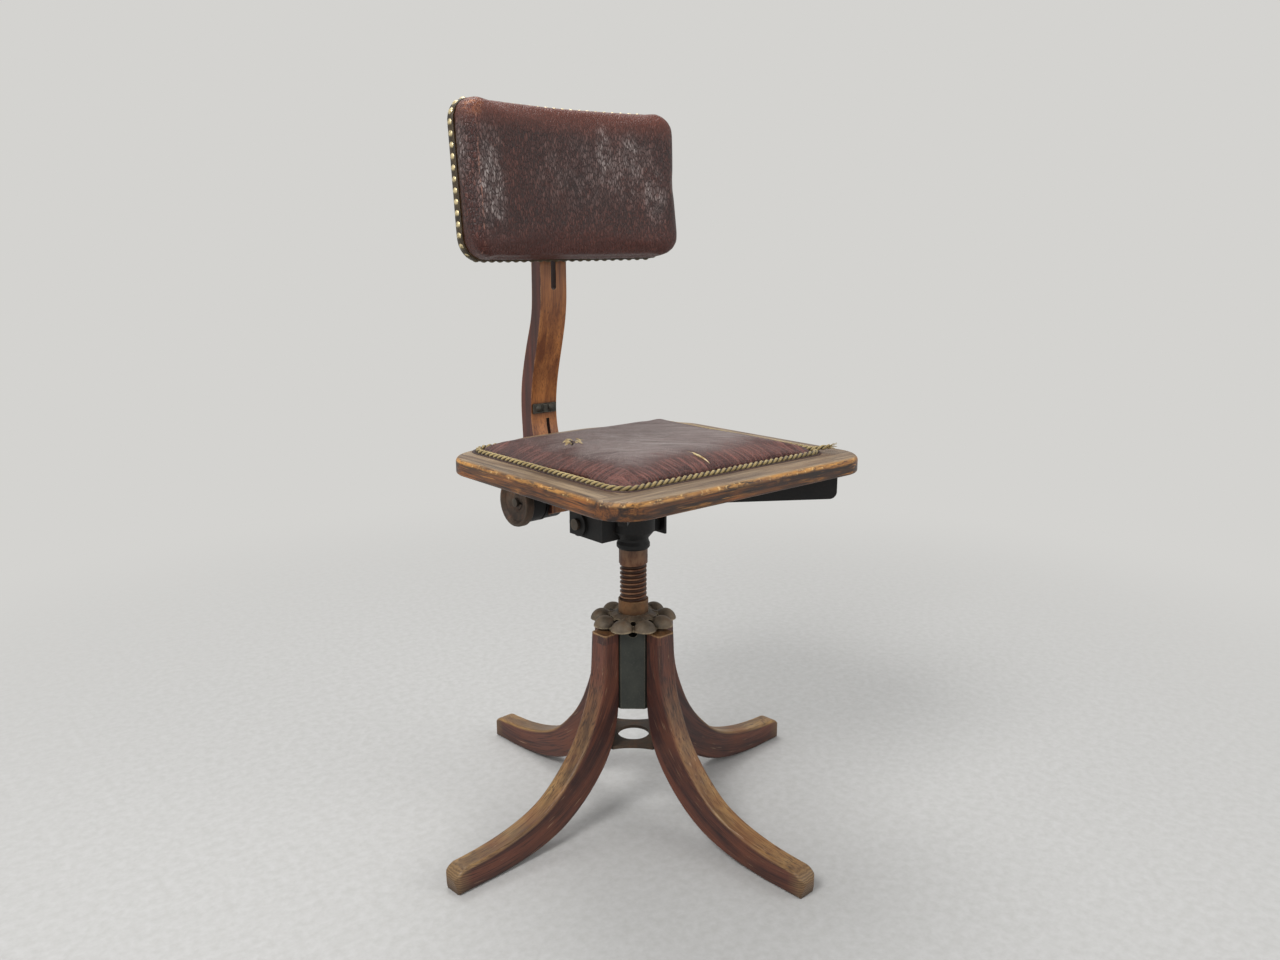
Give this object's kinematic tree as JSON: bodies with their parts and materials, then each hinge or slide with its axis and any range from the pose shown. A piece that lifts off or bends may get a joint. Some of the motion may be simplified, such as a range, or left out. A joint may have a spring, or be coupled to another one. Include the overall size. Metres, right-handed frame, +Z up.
{
  "type": "swivel chair",
  "caption": "Wooden swivel desk chair with curved legs, a screw and hand wheel for height, a leather seat and a tilting leather back.",
  "frame": {"origin": "on the floor under the spindle axis", "axes": "+Z up, -Y the way the sitter faces, -X on the sitter's right"},
  "size_m": [0.5578, 0.5578, 0.8599],
  "materials": {
    "leg_wood": "dark stained, worn",
    "seat_wood": "worn varnish",
    "post_oak": "worn varnish",
    "board_wood": "plain",
    "hub_iron": "flat grey",
    "spider_iron": "dull",
    "wheel_iron": "weathered",
    "rusty_steel": "rusted",
    "bush_brass": "plain",
    "plain_steel": "dull",
    "black_iron": "black",
    "knob_iron": "worn black",
    "strap_iron": "dull",
    "seat_leather": "worn",
    "back_leather": "worn",
    "braid_cloth": "braided",
    "nail_brass": "tarnished"
  },
  "bodies": {
    "base": {"leg_left": "leg_wood", "leg_rear": "leg_wood", "leg_right": "leg_wood", "leg_front": "leg_wood", "leg_screws": "plain_steel", "hub_socket": "hub_iron", "spider_plate": "spider_iron", "thrust_washer": "plain_steel"},
    "wheel": {"adjusting_wheel": "wheel_iron", "nut_sleeve": "rusty_steel"},
    "bush": {"guide_bush": "bush_brass"},
    "seat": {"spindle": "rusty_steel", "end_washer": "plain_steel", "end_screw": "plain_steel", "seat_iron": "black_iron", "iron_screws": "plain_steel", "side_plate": "black_iron", "side_bolt": "plain_steel", "tongue_plate": "black_iron", "tongue_bolts": "plain_steel", "pivot_barrel": "black_iron", "clamp_bolt": "plain_steel", "clamp_nut": "plain_steel", "clamp_cup": "black_iron", "front_rail": "seat_wood", "rear_rail": "seat_wood", "left_rail": "seat_wood", "right_rail": "seat_wood", "seat_board": "board_wood", "seat_pad": "seat_leather", "seat_braid": "braid_cloth"},
    "knob": {"clamp_knob": "knob_iron"},
    "post": {"back_post": "post_oak", "post_strap": "strap_iron", "strap_rivets": "strap_iron", "pivot_bolt": "plain_steel"},
    "backrest": {"backrest_board": "board_wood", "backrest_pad": "back_leather", "backrest_panel": "back_leather", "backrest_nails": "nail_brass", "rest_bracket": "black_iron", "rest_screws": "plain_steel"}
  },
  "joints": [
    {"name": "wheel_swivel", "type": "hinge", "parent": "base", "child": "wheel", "pos_m": [0, 0, 0.25], "axis": [0, 0, 1], "continuous": true},
    {"name": "seat_lift", "type": "slide", "parent": "wheel", "child": "bush", "axis": [0, 0, 1], "range_m": [-0.0418, 0.0296]},
    {"name": "seat_screw", "type": "hinge", "parent": "bush", "child": "seat", "pos_m": [0, 0, 0.3], "axis": [0, 0, 1], "range_deg": [-2600, 1840]},
    {"name": "knob_turn", "type": "hinge", "parent": "seat", "child": "knob", "pos_m": [-0.052, 0.17, 0.372], "axis": [-1, 0, 0], "range_deg": [-360, 0]},
    {"name": "back_tilt", "type": "hinge", "parent": "seat", "child": "post", "pos_m": [0, 0.17, 0.372], "axis": [1, 0, 0], "range_deg": [-18, 9]},
    {"name": "backrest_pivot", "type": "hinge", "parent": "post", "child": "backrest", "pos_m": [0, 0.163, 0.724], "axis": [1, 0, 0], "range_deg": [-8, 10]}
  ],
  "couplings": [
    {"joint": "seat_screw", "follows": "seat_lift", "rad_per_m": 1083.3}
  ]
}
